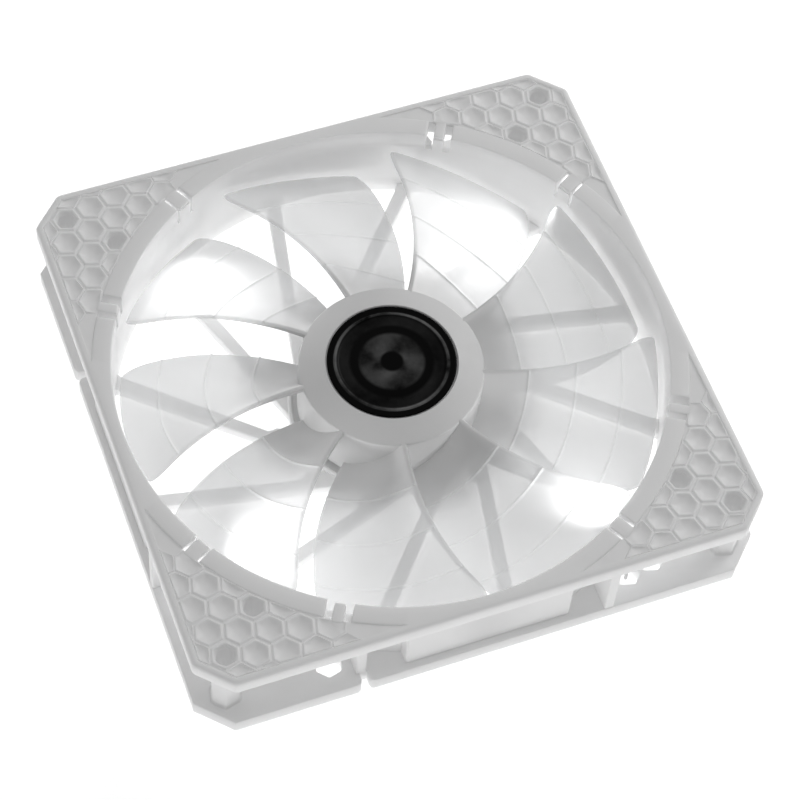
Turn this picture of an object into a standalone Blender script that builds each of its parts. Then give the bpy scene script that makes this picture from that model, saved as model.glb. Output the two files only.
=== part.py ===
"""A 140 mm case fan with four edge-mounted LEDs, as an assembly of separate parts.

Units are metres and +Z is up.  The origin is the middle of the rear (exhaust) face, so the
fan stands on its struts' side with the intake and the hub badge facing up.  The frame repeats
every quarter turn.  The impeller, its yoke, magnet, shaft, bush and badge turn about +Z.
"""
import math

import bmesh
import bpy
from mathutils import Matrix, Vector

# --- Frame -----------------------------------------------------------------------------------
SIDE = 0.140              # outer square
HEIGHT = 0.025
CORNER_CHAMFER = 0.0077   # taken off each corner, along the side
EDGE_ROUND = 0.0006       # on the edges of the two faces and of the duct's mouths
FLANGE = 0.005            # thickness of the upper and the lower flange
DUCT_R = 0.0667           # inside of the duct
DUCT_WALL = 0.0015
DUCT_STEPS = 96
HALF = SIDE / 2
DUCT_OUTER_R = DUCT_R + DUCT_WALL
OUTSIDE = HALF + 0.004    # how far a cutter reaches past the frame

# Between the flanges, along each side: s runs along the side, u is the distance from the axis
PLATE_HALF = 0.0205       # flat boss in the middle of the side
PLATE_U = 0.0683
CABLE_RIB_S = -0.0310     # short rib above the cable slit
CABLE_RIB_U = 0.0672
LED_RIB_S = 0.0300        # rib that reaches the flange's edge, beside the LED
RIB = 0.0025
SLIT_S = -0.0305
SLIT_WIDTH = 0.0018
SLIT_DEPTH = 0.0028

# Screw holes: two squares of four, each with a hexagonal boss between the flanges
HOLE_SPACINGS = (0.1245, 0.105)
HOLE_R = 0.0022
BOSS_R = 0.0037           # to a corner of the hexagon
HOLE_STEPS = 20

# Honeycomb in the corners of the intake face
CELL_PITCH = (HOLE_SPACINGS[0] - HOLE_SPACINGS[1]) / math.sqrt(2) / 2
RIDGE = 0.0007            # wall left between two cells
CELL_DEPTH = 0.0010
CELL_LIMIT_U = 0.0682     # cells stop here, short of the sides
CELL_LIMIT_R = 0.0713     # and here, outside the plain ring around the duct
CELL_RIM = 0.0017         # plain border along the chamfered corner
SMALLEST_CELL = 3e-6      # square metres, smaller remnants are left out

# Notches in the ring around the duct, one pair of slots each; four of the eight hold an LED
NOTCH_ANGLES = (30, 60)   # degrees, in the first quarter
SLOT_WIDTH = 0.00185
SLOT_OFFSET = 0.00222     # middle of a slot from the middle of the tab
SLOT_OUTER_R = 0.0700
SLOT_FLOOR = 0.0193
FLOOR_HOLE_R = 0.0034     # hexagonal holes in the lower flange, below cells of the honeycomb

# --- Motor base and struts ---------------------------------------------------------------------
STRUTS = 12
STRUT_ANGLE = 79          # direction of the first strut, degrees
STRUT_OFFSET = 0.0198     # a strut's line passes this far from the axis
STRUT_WIDTH = 0.0030
STRUT_END_WIDTH = 0.0038
STRUT_BOTTOM = 0.0002
STRUT_TOP = 0.0034
STRUT_REACH = 0.0644      # along the strut, from its closest point to the axis
GUSSET_REACH = 0.0239     # the strut is wider from here to the base
GUSSET_WIDTH = 0.0017
BASE_R = 0.0246
BASE_BOTTOM = 0.0002
BASE_TOP = 0.0030
BASE_RIM_TOP = 0.0044
LABEL_R = 0.0202
LABEL_RECESS = 0.0006
COLLAR_R = 0.0062
COLLAR_TOP = 0.0060
TUBE_SEAT_R = 0.0049
TUBE_SEAT = 0.0022

# --- Rotor -------------------------------------------------------------------------------------
HUB_R = 0.0224
HUB_WALL = 0.0013
HUB_BOTTOM = 0.0049
HUB_TOP = 0.0231          # beside the badge; the face falls from there to the rim like a flat cone
HUB_RIM = 0.0213
HUB_ROUND = 0.0006
HUB_ROOF = 0.0026
HUB_STEPS = 48
BADGE_R = 0.0156
BADGE_DEPTH = 0.0006
BLADES = 9
BLADE_TIP_R = 0.0652
BLADE_ROOT_R = 0.0219
BLADE_THICKNESS = 0.0013
BLADE_TOP = 0.0212
BLADE_BOTTOM = 0.0072
BLADE_ROOT_SPAN = 38      # degrees that a blade covers at its root and its tip
BLADE_TIP_SPAN = 35
BLADE_SWEEP = 14          # degrees that the tip leads the root
BLADE_ROWS = 7            # quads along the blade and across it
BLADE_COLUMNS = 6
SHAFT_R = 0.0015
GAP = 0.0003              # clearance between parts that touch on the real fan
BOARD_R = 0.0195

# --- Lighting ----------------------------------------------------------------------------------
LED_Y = 0.0338            # the LED of the first quarter lies along X at this Y and height
LED_Z = 0.0165
LED_TIP_X = 0.0595
LED_R = 0.0015
LED_FLANGE_R = 0.0019
LED_LENGTH = 0.0056
POCKET_R = 0.00185        # the LED's tip lies in a blind pocket behind the duct's wall
POCKET_X = 0.0592
LEAD_R = 0.00045
GROOVE_R = 0.0009
GROOVE_SHIFT = Vector((0.0, 0.0, -0.0003))
LEAD_Z = 0.0008
QUARTERS = 4

COLOURS = {
    "frame_white": ((0.80, 0.80, 0.80), 0.45, 0.0),
    "blade_clear": ((0.90, 0.91, 0.92), 0.30, 0.0),
    "badge_black": ((0.02, 0.02, 0.02), 0.25, 0.0),
    "brass": ((0.72, 0.53, 0.25), 0.30, 1.0),
    "bronze": ((0.45, 0.30, 0.17), 0.55, 1.0),
    "steel": ((0.62, 0.62, 0.64), 0.28, 1.0),
    "lamination": ((0.34, 0.35, 0.37), 0.45, 1.0),
    "magnet": ((0.08, 0.08, 0.09), 0.60, 0.0),
    "copper": ((0.74, 0.36, 0.18), 0.32, 1.0),
    "nylon": ((0.86, 0.84, 0.78), 0.50, 0.0),
    "board_green": ((0.05, 0.22, 0.10), 0.45, 0.0),
    "chip_black": ((0.03, 0.03, 0.03), 0.50, 0.0),
    "label_paper": ((0.85, 0.85, 0.85), 0.60, 0.0),
    "led_clear": ((0.93, 0.95, 1.00), 0.10, 0.0),
    "lead_white": ((0.82, 0.82, 0.82), 0.50, 0.0),
}


# --- Scene helpers -----------------------------------------------------------------------------
def clear_scene():
    for obj in list(bpy.data.objects):
        bpy.data.objects.remove(obj, do_unlink=True)
    for collection in list(bpy.data.collections):
        bpy.data.collections.remove(collection)


def new_collection(name):
    collection = bpy.data.collections.new(name)
    bpy.context.scene.collection.children.link(collection)
    return collection


def new_materials():
    made = {}
    for name, (colour, roughness, metallic) in COLOURS.items():
        material = bpy.data.materials.new(name)
        material.use_nodes = True
        shader = material.node_tree.nodes["Principled BSDF"]
        shader.inputs["Base Color"].default_value = (*colour, 1.0)
        shader.inputs["Roughness"].default_value = roughness
        shader.inputs["Metallic"].default_value = metallic
        made[name] = material
    return made


def as_part(obj, name, material, parent=None):
    """Name a finished piece, colour it and file it under the fan."""
    obj.name = name
    obj.data.name = name
    obj.data.materials.clear()
    obj.data.materials.append(MATERIALS[material])
    PARTS.objects.link(obj)
    if parent is not None:
        obj.parent = parent
    return obj


def as_cutter(obj, collection):
    obj.hide_render = True
    obj.display_type = "WIRE"
    collection.objects.link(obj)
    return obj


def shade_round(obj, angle=32):
    obj.data.shade_smooth()
    obj.data.set_sharp_from_angle(angle=math.radians(angle))
    return obj


def boolean(obj, operand, operation):
    modifier = obj.modifiers.new(operation.lower(), "BOOLEAN")
    modifier.operation = operation
    modifier.solver = "EXACT"
    if isinstance(operand, bpy.types.Collection):
        modifier.operand_type = "COLLECTION"
        modifier.collection = operand
    else:
        modifier.object = operand


# --- Shape helpers -----------------------------------------------------------------------------
def curve_to_mesh(curve_obj):
    """Turn a curve object into a closed mesh object, with its caps welded on."""
    bpy.context.scene.collection.objects.link(curve_obj)
    bpy.context.view_layer.update()
    evaluated = curve_obj.evaluated_get(bpy.context.evaluated_depsgraph_get())
    mesh = bpy.data.meshes.new_from_object(evaluated)
    made = bpy.data.objects.new(curve_obj.name, mesh)
    made.matrix_world = curve_obj.matrix_world
    bpy.data.objects.remove(curve_obj, do_unlink=True)
    work = bmesh.new()
    work.from_mesh(mesh)
    bmesh.ops.remove_doubles(work, verts=work.verts, dist=1e-6)
    bmesh.ops.recalc_face_normals(work, faces=work.faces)
    work.to_mesh(mesh)
    work.free()
    return made


def flat_solid(name, loops, bottom, top):
    """A plate from closed outlines in the XY plane; loops inside another are holes."""
    curve = bpy.data.curves.new(name, "CURVE")
    curve.dimensions = "2D"
    curve.fill_mode = "BOTH"
    curve.extrude = (top - bottom) / 2
    for loop in loops:
        spline = curve.splines.new("POLY")
        spline.points.add(len(loop) - 1)
        for point, (x, y) in zip(spline.points, loop):
            point.co = (x, y, 0.0, 1.0)
        spline.use_cyclic_u = True
    made = curve_to_mesh(bpy.data.objects.new(name, curve))
    made.location.z = (bottom + top) / 2
    return made


def turned(name, profile, steps, closed=False):
    """A solid of revolution about Z; the profile runs down its outer side."""
    mesh = bpy.data.meshes.new(name)
    edges = [(i, i + 1) for i in range(len(profile) - 1)]
    if closed:
        edges.append((len(profile) - 1, 0))
    mesh.from_pydata([(radius, 0.0, z) for radius, z in profile], edges, [])
    obj = bpy.data.objects.new(name, mesh)
    screw = obj.modifiers.new("turn", "SCREW")
    screw.steps = steps
    screw.render_steps = steps
    screw.use_merge_vertices = True
    screw.merge_threshold = 0.00001
    screw.use_smooth_shade = False
    return obj


def ring_profile(inner, outer, bottom, top):
    return [(outer, top), (outer, bottom), (inner, bottom), (inner, top)]


def turned_ring(name, inner, outer, bottom, top, steps):
    return turned(name, ring_profile(inner, outer, bottom, top), steps, closed=True)


def disc(name, radius, bottom, top, steps):
    return turned(name, [(0.0, top), (radius, top), (radius, bottom), (0.0, bottom)], steps)


def box(name, low, high):
    bpy.ops.mesh.primitive_cube_add(size=1.0)
    obj = bpy.context.object
    for collection in list(obj.users_collection):
        collection.objects.unlink(obj)
    size = [b - a for a, b in zip(low, high)]
    middle = [(a + b) / 2 for a, b in zip(low, high)]
    obj.data.transform(Matrix.Diagonal((*size, 1.0)))
    obj.name = name
    obj.location = middle
    return obj


def rod(name, radius, start, end, steps):
    """A cylinder between two points."""
    bpy.ops.mesh.primitive_cylinder_add(radius=radius, depth=(end - start).length, vertices=steps)
    obj = bpy.context.object
    for collection in list(obj.users_collection):
        collection.objects.unlink(obj)
    obj.name = name
    obj.matrix_world = (Matrix.Translation((start + end) / 2)
                        @ (end - start).to_track_quat("Z", "Y").to_matrix().to_4x4())
    return obj


def tube(name, points, radius, steps_round=2):
    curve = bpy.data.curves.new(name, "CURVE")
    curve.dimensions = "3D"
    curve.bevel_depth = radius
    curve.bevel_resolution = steps_round
    curve.use_fill_caps = True
    spline = curve.splines.new("POLY")
    spline.points.add(len(points) - 1)
    for point, place in zip(spline.points, points):
        point.co = (*place, 1.0)
    return curve_to_mesh(bpy.data.objects.new(name, curve))


def smooth_route(points, steps):
    """Points on a smooth curve that passes through the given points."""
    padded = [points[0] * 2 - points[1], *points, points[-1] * 2 - points[-2]]
    route = []
    for i in range(1, len(padded) - 2):
        before, start, end, after = padded[i - 1:i + 3]
        for k in range(steps):
            t = k / steps
            route.append(0.5 * (2 * start + (end - before) * t
                                + (2 * before - 5 * start + 4 * end - after) * t ** 2
                                + (3 * start - before - 3 * end + after) * t ** 3))
    route.append(points[-1])
    return route


def circle(radius, steps, centre=(0.0, 0.0), start=0.0):
    turn = 2 * math.pi / steps
    return [(centre[0] + radius * math.cos(start + k * turn),
             centre[1] + radius * math.sin(start + k * turn)) for k in range(steps)]


def arc(radius, start, end, steps):
    """Points on a circle about the axis; angles in radians."""
    return [(radius * math.cos(start + (end - start) * k / steps),
             radius * math.sin(start + (end - start) * k / steps)) for k in range(steps + 1)]


def turn_copy(obj, quarter):
    """A copy of the object, a number of quarter turns further round the axis."""
    copy = obj.copy()
    copy.matrix_basis = Matrix.Rotation(quarter * math.pi / 2, 4, "Z") @ obj.matrix_basis
    return copy


# --- Frame -------------------------------------------------------------------------------------
def frame_outline():
    near = HALF - CORNER_CHAMFER
    corner = [(HALF, -near), (HALF, near)]
    outline = []
    for quarter in range(QUARTERS):
        c, s = round(math.cos(quarter * math.pi / 2)), round(math.sin(quarter * math.pi / 2))
        outline += [(x * c - y * s, x * s + y * c) for x, y in corner]
    return outline


def side_gap_loops():
    """Outline of the open space between the flanges, over one quarter of the frame.

    It runs from the LED rib of the front side, round the corner at +X -Y, to the LED rib
    of the right side.  The two screw bosses are holes in it.
    """
    def angle_at(s):
        return math.asin(s / DUCT_OUTER_R)

    half = RIB / 2
    start = angle_at(LED_RIB_S + half) - math.pi / 2
    stops = [start, angle_at(CABLE_RIB_S - half)]
    loop = arc(DUCT_OUTER_R, stops[0], stops[1], 8)
    loop += [(CABLE_RIB_U, CABLE_RIB_S - half), (CABLE_RIB_U, CABLE_RIB_S + half)]
    loop += arc(DUCT_OUTER_R, angle_at(CABLE_RIB_S + half), angle_at(-PLATE_HALF), 3)
    loop += [(PLATE_U, -PLATE_HALF), (PLATE_U, PLATE_HALF)]
    loop += arc(DUCT_OUTER_R, angle_at(PLATE_HALF), angle_at(LED_RIB_S - half), 3)
    loop += [(OUTSIDE, LED_RIB_S - half), (OUTSIDE, -OUTSIDE), (LED_RIB_S + half, -OUTSIDE)]
    bosses = [circle(BOSS_R, 6, (spacing / 2, -spacing / 2), math.radians(-15))
              for spacing in HOLE_SPACINGS]
    return [loop, *bosses]


def clip(polygon, normal, limit):
    """The part of a convex polygon where the dot product with the normal is under the limit."""
    kept = []
    for i, end in enumerate(polygon):
        start = polygon[i - 1]
        inside_start = start.dot(normal) - limit
        inside_end = end.dot(normal) - limit
        if (inside_start < 0) != (inside_end < 0):
            share = inside_start / (inside_start - inside_end)
            kept.append(start + (end - start) * share)
        if inside_end < 0:
            kept.append(end)
    return kept


def polygon_area(polygon):
    return abs(sum(a.cross(b) for a, b in zip(polygon, polygon[1:] + polygon[:1]))) / 2


def honeycomb_cells():
    """Cell outlines of the +X +Y corner; rows of cells run along the diagonal."""
    diagonal = math.radians(45)
    middle = Vector((sum(HOLE_SPACINGS) / 4, sum(HOLE_SPACINGS) / 4))
    step_a = CELL_PITCH * Vector((math.cos(diagonal + math.pi / 3), math.sin(diagonal + math.pi / 3)))
    step_b = CELL_PITCH * Vector((math.cos(diagonal - math.pi / 3), math.sin(diagonal - math.pi / 3)))
    corner_radius = (CELL_PITCH - RIDGE) / math.sqrt(3)
    chamfer_limit = (SIDE - CORNER_CHAMFER) / math.sqrt(2) - CELL_RIM
    cells = []
    for a in range(-3, 3):
        for b in range(-3, 3):
            centre = middle + a * step_a + b * step_b
            cell = [centre + corner_radius * Vector((math.cos(diagonal + math.pi / 6 + k * math.pi / 3),
                                                     math.sin(diagonal + math.pi / 6 + k * math.pi / 3)))
                    for k in range(6)]
            cell = clip(cell, Vector((1, 0)), CELL_LIMIT_U)
            cell = clip(cell, Vector((0, 1)), CELL_LIMIT_U)
            cell = clip(cell, Vector((1, 1)).normalized(), chamfer_limit)
            cell = clip(cell, -centre.normalized(), -CELL_LIMIT_R)
            if len(cell) > 2 and polygon_area(cell) > SMALLEST_CELL:
                cells.append(cell)
    return cells


def strut_point(angle, along, aside):
    """A point beside a strut: along it, and aside from its middle line, away from the axis."""
    across = STRUT_OFFSET + aside
    return (along * math.cos(angle) - across * math.sin(angle),
            along * math.sin(angle) + across * math.cos(angle))


def strut_outline(angle):
    half, end_half = STRUT_WIDTH / 2, STRUT_END_WIDTH / 2
    wide = half + GUSSET_WIDTH
    corners = [(0.0100, half), (STRUT_REACH, end_half), (STRUT_REACH, -end_half),
               (GUSSET_REACH, -half), (GUSSET_REACH - GUSSET_WIDTH, -wide), (0.0138, -wide)]
    return [strut_point(angle, along, aside) for along, aside in corners]


def base_profile():
    recess = BASE_BOTTOM + LABEL_RECESS
    rim = 0.0010
    return [(0.0, TUBE_SEAT), (TUBE_SEAT_R, TUBE_SEAT), (TUBE_SEAT_R, COLLAR_TOP),
            (COLLAR_R, COLLAR_TOP), (COLLAR_R, BASE_TOP), (BASE_R - rim, BASE_TOP),
            (BASE_R - rim, BASE_RIM_TOP), (BASE_R, BASE_RIM_TOP), (BASE_R, BASE_BOTTOM),
            (LABEL_R + 0.0004, BASE_BOTTOM), (LABEL_R + 0.0004, recess), (0.0, recess)]


def corner_cell(steps, beside):
    """Middle of a cell some steps from the corner's middle cell, towards the axis's X side."""
    middle = sum(HOLE_SPACINGS) / 4
    turn = math.radians(45 + 60)
    along, aside = steps * CELL_PITCH * math.sin(turn), -steps * CELL_PITCH * math.cos(turn)
    place = (middle + aside, middle - along)
    return place[::-1] if beside else place


def lead_route():
    """Route of the first quarter's LED lead, in two runs: through the strut, then up to the LED."""
    angle = math.radians(STRUT_ANGLE - 60)
    up = Vector((0.0, 0.0, 1.0))
    rise = Vector((*strut_point(angle, 0.0085, 0.0), 0.0))
    board_edge = rise.normalized() * (BOARD_R + GAP)
    hole = Vector((*corner_cell(3, False), 0.0))
    below = [board_edge + up * 0.0042, rise * 0.975 + up * 0.0040, rise + up * 0.0028]
    below += [Vector((*strut_point(angle, along, 0.0), height))
              for along, height in ((0.0096, 0.0013), (0.0125, LEAD_Z), (0.0300, LEAD_Z),
                                    (0.0480, LEAD_Z), (0.0620, LEAD_Z))]
    below += [Vector((0.0580, 0.0396, LEAD_Z)), Vector((0.0610, 0.0386, LEAD_Z)), hole + up * 0.0025]
    led_back = Vector((LED_TIP_X + LED_LENGTH, LED_Y, LED_Z))
    above = [hole + up * 0.0080, hole + Vector((0.0012, -0.0005, 0.0125)),
             led_back + Vector((0.0022, 0.0010, -0.0006)), led_back + Vector((GAP + 0.0001, 0, 0))]
    return below, above


def frame_cutters(cutters):
    """Everything that is taken out of the frame after its struts are joined to it."""
    along, _ = lead_route()
    groove = smooth_route([point + GROOVE_SHIFT for point in along[1:]], 2)
    cells = honeycomb_cells()
    for quarter in range(QUARTERS):
        turn = Matrix.Rotation(quarter * math.pi / 2, 4, "Z")
        for spacing in HOLE_SPACINGS:
            place = turn @ Vector((spacing / 2, spacing / 2, 0.0))
            hole = rod(f"cut_screw_hole_{quarter}", HOLE_R, place - Vector((0, 0, 0.001)),
                       place + Vector((0, 0, HEIGHT + 0.001)), HOLE_STEPS)
            as_cutter(hole, cutters)
        slit = box(f"cut_cable_slit_{quarter}",
                   (HALF - SLIT_DEPTH, SLIT_S - SLIT_WIDTH / 2, -0.001),
                   (OUTSIDE, SLIT_S + SLIT_WIDTH / 2, FLANGE + 0.001))
        slit.matrix_world = turn @ Matrix.Translation(slit.location)
        as_cutter(slit, cutters)
        pocket = rod(f"cut_led_pocket_{quarter}", POCKET_R, turn @ Vector((POCKET_X, LED_Y, LED_Z)),
                     turn @ Vector((0.0622, LED_Y, LED_Z)), 16)
        as_cutter(pocket, cutters)
        for k, cell in enumerate(cells):
            outline = [tuple((turn @ Vector((point.x, point.y, 0.0))).xy) for point in cell]
            as_cutter(flat_solid(f"cut_cell_{quarter}_{k}", [outline], HEIGHT - CELL_DEPTH,
                                 HEIGHT + 0.001), cutters)
        for steps, beside in ((3, False), (3, True), (2, False)):
            place = turn @ Vector((*corner_cell(steps, beside), 0.0))
            hexagon = circle(FLOOR_HOLE_R, 6, place.xy, math.radians(15) + quarter * math.pi / 2)
            as_cutter(flat_solid(f"cut_floor_hole_{quarter}", [hexagon], -0.001, FLANGE + 0.001),
                      cutters)
        as_cutter(tube(f"cut_lead_groove_{quarter}", [turn @ point for point in groove], GROOVE_R),
                  cutters)
        for notch_angle in NOTCH_ANGLES:
            angle = math.radians(notch_angle) + quarter * math.pi / 2
            for side in (-1, 1):
                middle = side * SLOT_OFFSET
                slot = box(f"cut_slot_{quarter}", (0.0655, middle - SLOT_WIDTH / 2, SLOT_FLOOR),
                           (SLOT_OUTER_R, middle + SLOT_WIDTH / 2, HEIGHT + 0.001))
                slot.matrix_world = Matrix.Rotation(angle, 4, "Z") @ Matrix.Translation(slot.location)
                as_cutter(slot, cutters)


def make_frame():
    """The one-piece moulding: flanges, duct, ribs, struts and motor base."""
    frame = flat_solid("frame", [frame_outline(), circle(DUCT_R, DUCT_STEPS)], 0.0, HEIGHT)
    rounding = frame.modifiers.new("edge rounding", "BEVEL")
    rounding.width = EDGE_ROUND
    rounding.segments = 2
    rounding.limit_method = "ANGLE"
    rounding.angle_limit = math.radians(60)
    side_cutters = new_collection("frame_side_cutters")
    gap = flat_solid("cut_side_gap", side_gap_loops(), FLANGE, HEIGHT - FLANGE)
    for quarter in range(QUARTERS):
        as_cutter(turn_copy(gap, quarter), side_cutters)
    bpy.data.objects.remove(gap, do_unlink=True)
    boolean(frame, side_cutters, "DIFFERENCE")

    spokes = new_collection("frame_spokes")
    for number in range(STRUTS):
        angle = math.radians(STRUT_ANGLE + number * 360 / STRUTS)
        as_cutter(flat_solid(f"strut_{number}", [strut_outline(angle)], STRUT_BOTTOM, STRUT_TOP), spokes)
    as_cutter(turned("motor_base", base_profile(), DUCT_STEPS // 2), spokes)
    boolean(frame, spokes, "UNION")

    cutters = new_collection("frame_cutters")
    frame_cutters(cutters)
    boolean(frame, cutters, "DIFFERENCE")
    return as_part(frame, "frame", "frame_white")


# --- Rotor -------------------------------------------------------------------------------------
def blade_surface(number):
    """One blade as an open surface; its upper, leading edge is ahead in the turning direction."""
    vertices = []
    for row in range(BLADE_ROWS + 1):
        out = row / BLADE_ROWS
        radius = BLADE_ROOT_R + (BLADE_TIP_R - BLADE_ROOT_R) * out
        span = BLADE_ROOT_SPAN + (BLADE_TIP_SPAN - BLADE_ROOT_SPAN) * out
        lead = BLADE_SWEEP * out ** 1.5 + span / 2
        top = BLADE_TOP - 0.0016 * out
        bottom = BLADE_BOTTOM + 0.0014 * out
        for column in range(BLADE_COLUMNS + 1):
            back = column / BLADE_COLUMNS
            angle = math.radians(number * 360 / BLADES + lead - span * back)
            droop = back + 0.16 * math.sin(math.pi * back)
            vertices.append((radius * math.cos(angle), radius * math.sin(angle),
                             top + (bottom - top) * droop))
    width = BLADE_COLUMNS + 1
    faces = [(row * width + column, row * width + column + 1,
              (row + 1) * width + column + 1, (row + 1) * width + column)
             for row in range(BLADE_ROWS) for column in range(BLADE_COLUMNS)]
    mesh = bpy.data.meshes.new(f"blade_{number}")
    mesh.from_pydata(vertices, [], faces)
    blade = bpy.data.objects.new(f"blade_{number}", mesh)
    solidify = blade.modifiers.new("thickness", "SOLIDIFY")
    solidify.thickness = BLADE_THICKNESS
    solidify.offset = 0.0
    return blade


def hub_profile():
    inner = HUB_R - HUB_WALL
    badge_floor = HUB_TOP - BADGE_DEPTH
    roof = HUB_TOP - HUB_ROOF
    boss_r, boss_bottom = 0.0060, 0.0189
    bush_hole_r, bush_hole_top = 0.0033, 0.0217
    profile = [(0.0, badge_floor), (BADGE_R + 0.0003, badge_floor), (BADGE_R + 0.0003, HUB_TOP)]
    for k in range(5):
        turn = k / 4 * math.pi / 2
        profile.append((HUB_R - HUB_ROUND + HUB_ROUND * math.sin(turn),
                        HUB_RIM - HUB_ROUND + HUB_ROUND * math.cos(turn)))
    profile += [(HUB_R, HUB_BOTTOM), (inner, HUB_BOTTOM), (inner, roof), (boss_r, roof),
                (boss_r, boss_bottom), (bush_hole_r, boss_bottom), (bush_hole_r, bush_hole_top),
                (0.0, bush_hole_top)]
    return profile


def make_impeller(axle):
    hub = turned("impeller", hub_profile(), HUB_STEPS)
    blades = new_collection("impeller_blades")
    for number in range(BLADES):
        as_cutter(blade_surface(number), blades)
    boolean(hub, blades, "UNION")
    return as_part(hub, "impeller", "blade_clear", axle)


def make_rotor(axle):
    make_impeller(axle)
    badge = disc("hub_badge", BADGE_R, HUB_TOP - BADGE_DEPTH + GAP, HUB_TOP + 0.0001, 48)
    as_part(badge, "hub_badge", "badge_black", axle)

    outer = HUB_R - HUB_WALL - GAP
    wall = 0.0009
    yoke = turned("rotor_yoke", [(0.0063, 0.0202), (outer, 0.0202), (outer, 0.0056),
                                 (outer - wall, 0.0056), (outer - wall, 0.0193), (0.0063, 0.0193)],
                  48, closed=True)
    as_part(yoke, "rotor_yoke", "steel", axle)
    magnet = turned_ring("ring_magnet", 0.0170, outer - wall - GAP, 0.0064, 0.0172, 48)
    as_part(magnet, "ring_magnet", "magnet", axle)
    bush = turned_ring("shaft_bush", SHAFT_R + GAP, 0.0030, 0.0192, 0.0214, 24)
    as_part(bush, "shaft_bush", "brass", axle)
    groove_r = 0.0010
    shaft = turned("shaft", [(0.0, 0.0212), (SHAFT_R, 0.0212), (SHAFT_R, 0.0049), (groove_r, 0.0049),
                             (groove_r, 0.0037), (SHAFT_R, 0.0037), (SHAFT_R * 0.6, 0.0033),
                             (0.0, 0.0033)], 24)
    as_part(shaft, "shaft", "steel", axle)
    opening = math.radians(25)
    outline = arc(0.0027, opening, 2 * math.pi - opening, 20)
    outline += arc(0.0013, 2 * math.pi - opening, opening, 20)
    as_part(flat_solid("shaft_clip", [outline], 0.0040, 0.0045), "shaft_clip", "steel", axle)


# --- Bearing and stator ------------------------------------------------------------------------
def make_bearing():
    tube_part = turned_ring("bearing_tube", 0.0036, 0.0046, 0.0025, 0.0186, 32)
    as_part(tube_part, "bearing_tube", "brass")
    sleeve = turned_ring("bearing_sleeve", SHAFT_R + GAP, 0.0033, 0.0049, 0.0176, 24)
    as_part(sleeve, "bearing_sleeve", "bronze")
    pad = disc("thrust_pad", 0.0032, 0.0025, 0.0030, 24)
    as_part(pad, "thrust_pad", "nylon")
    seal = turned_ring("oil_seal", SHAFT_R + GAP, 0.0033, 0.0179, 0.0183, 24)
    as_part(seal, "oil_seal", "nylon")


def core_outline(ring_r, arm_half, shoe_in, shoe_out, shoe_half_angle):
    """A four-armed stator plate with curved pole shoes."""
    outline = []
    root = math.asin(arm_half / ring_r)
    neck = math.asin(arm_half / shoe_in)
    for quarter in range(QUARTERS):
        turn = math.radians(45) + quarter * math.pi / 2
        outline += arc(ring_r, turn - math.pi / 2 + root, turn - root, 4)
        outline += arc(shoe_in, turn - neck, turn - shoe_half_angle, 4)
        outline += arc(shoe_out, turn - shoe_half_angle, turn + shoe_half_angle, 10)
        outline += arc(shoe_in, turn + shoe_half_angle, turn + neck, 4)
    return outline


def make_stator():
    bore = circle(0.0049, 32)
    core = flat_solid("stator_core", [core_outline(0.0064, 0.0025, 0.0134, 0.0164,
                                                   math.radians(37)), bore], 0.0096, 0.0150)
    as_part(core, "stator_core", "lamination")
    guard = core_outline(0.0064, 0.0028, 0.0132, 0.0160, math.radians(35))
    for name, bottom, top in (("insulator_lower", 0.0086, 0.0093), ("insulator_upper", 0.0153, 0.0160)):
        as_part(flat_solid(name, [guard, bore], bottom, top), name, "nylon")
    for quarter in range(QUARTERS):
        as_part(make_winding(quarter), f"winding_{quarter + 1}", "copper")


def rounded_rectangle(half_x, half_y, radius, steps=3):
    loop = []
    for k, (x, y) in enumerate(((1, 1), (-1, 1), (-1, -1), (1, -1))):
        for step in range(steps + 1):
            turn = (k + step / steps) * math.pi / 2
            loop.append((x * (half_x - radius) + radius * math.cos(turn),
                         y * (half_y - radius) + radius * math.sin(turn)))
    return loop


def make_winding(quarter):
    """A coil round one stator arm."""
    coil_in, coil_out = 0.0078, 0.0120
    low, high = 0.0069, 0.0177
    outer = rounded_rectangle(0.0045, (high - low) / 2, 0.0012)
    inner = rounded_rectangle(0.0031, (high - low) / 2 - 0.0014, 0.0005)
    coil = flat_solid("winding", [outer, inner], coil_in, coil_out)
    stand = Matrix.Rotation(math.pi / 2, 4, "Z") @ Matrix.Rotation(math.pi / 2, 4, "X")
    turn = Matrix.Rotation(math.radians(45) + quarter * math.pi / 2, 4, "Z")
    coil.matrix_world = (turn @ Matrix.Translation((0, 0, (low + high) / 2)) @ stand
                         @ Matrix.Translation((0, 0, (coil_in + coil_out) / 2)))
    return coil


def make_electronics():
    board_top = 0.0050
    board = flat_solid("driver_board", [circle(BOARD_R, 48), circle(0.0066, 32)], 0.0038, board_top)
    as_part(board, "driver_board", "board_green")
    seat = board_top + GAP
    as_part(box("hall_sensor", (0.0138, -0.0020, seat), (0.0162, 0.0020, seat + 0.0015)),
            "hall_sensor", "chip_black")
    as_part(box("driver_chip", (-0.0140, -0.0025, seat), (-0.0090, 0.0025, seat + 0.0011)),
            "driver_chip", "chip_black")
    capacitor = disc("smoothing_capacitor", 0.0015, seat, seat + 0.0012, 20)
    capacitor.location = (0.0, -0.0150, 0.0)
    as_part(capacitor, "smoothing_capacitor", "steel")
    label = disc("rear_label", LABEL_R, BASE_BOTTOM + LABEL_RECESS - GAP - 0.0002,
                 BASE_BOTTOM + LABEL_RECESS - GAP, 48)
    as_part(label, "rear_label", "label_paper")


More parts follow.
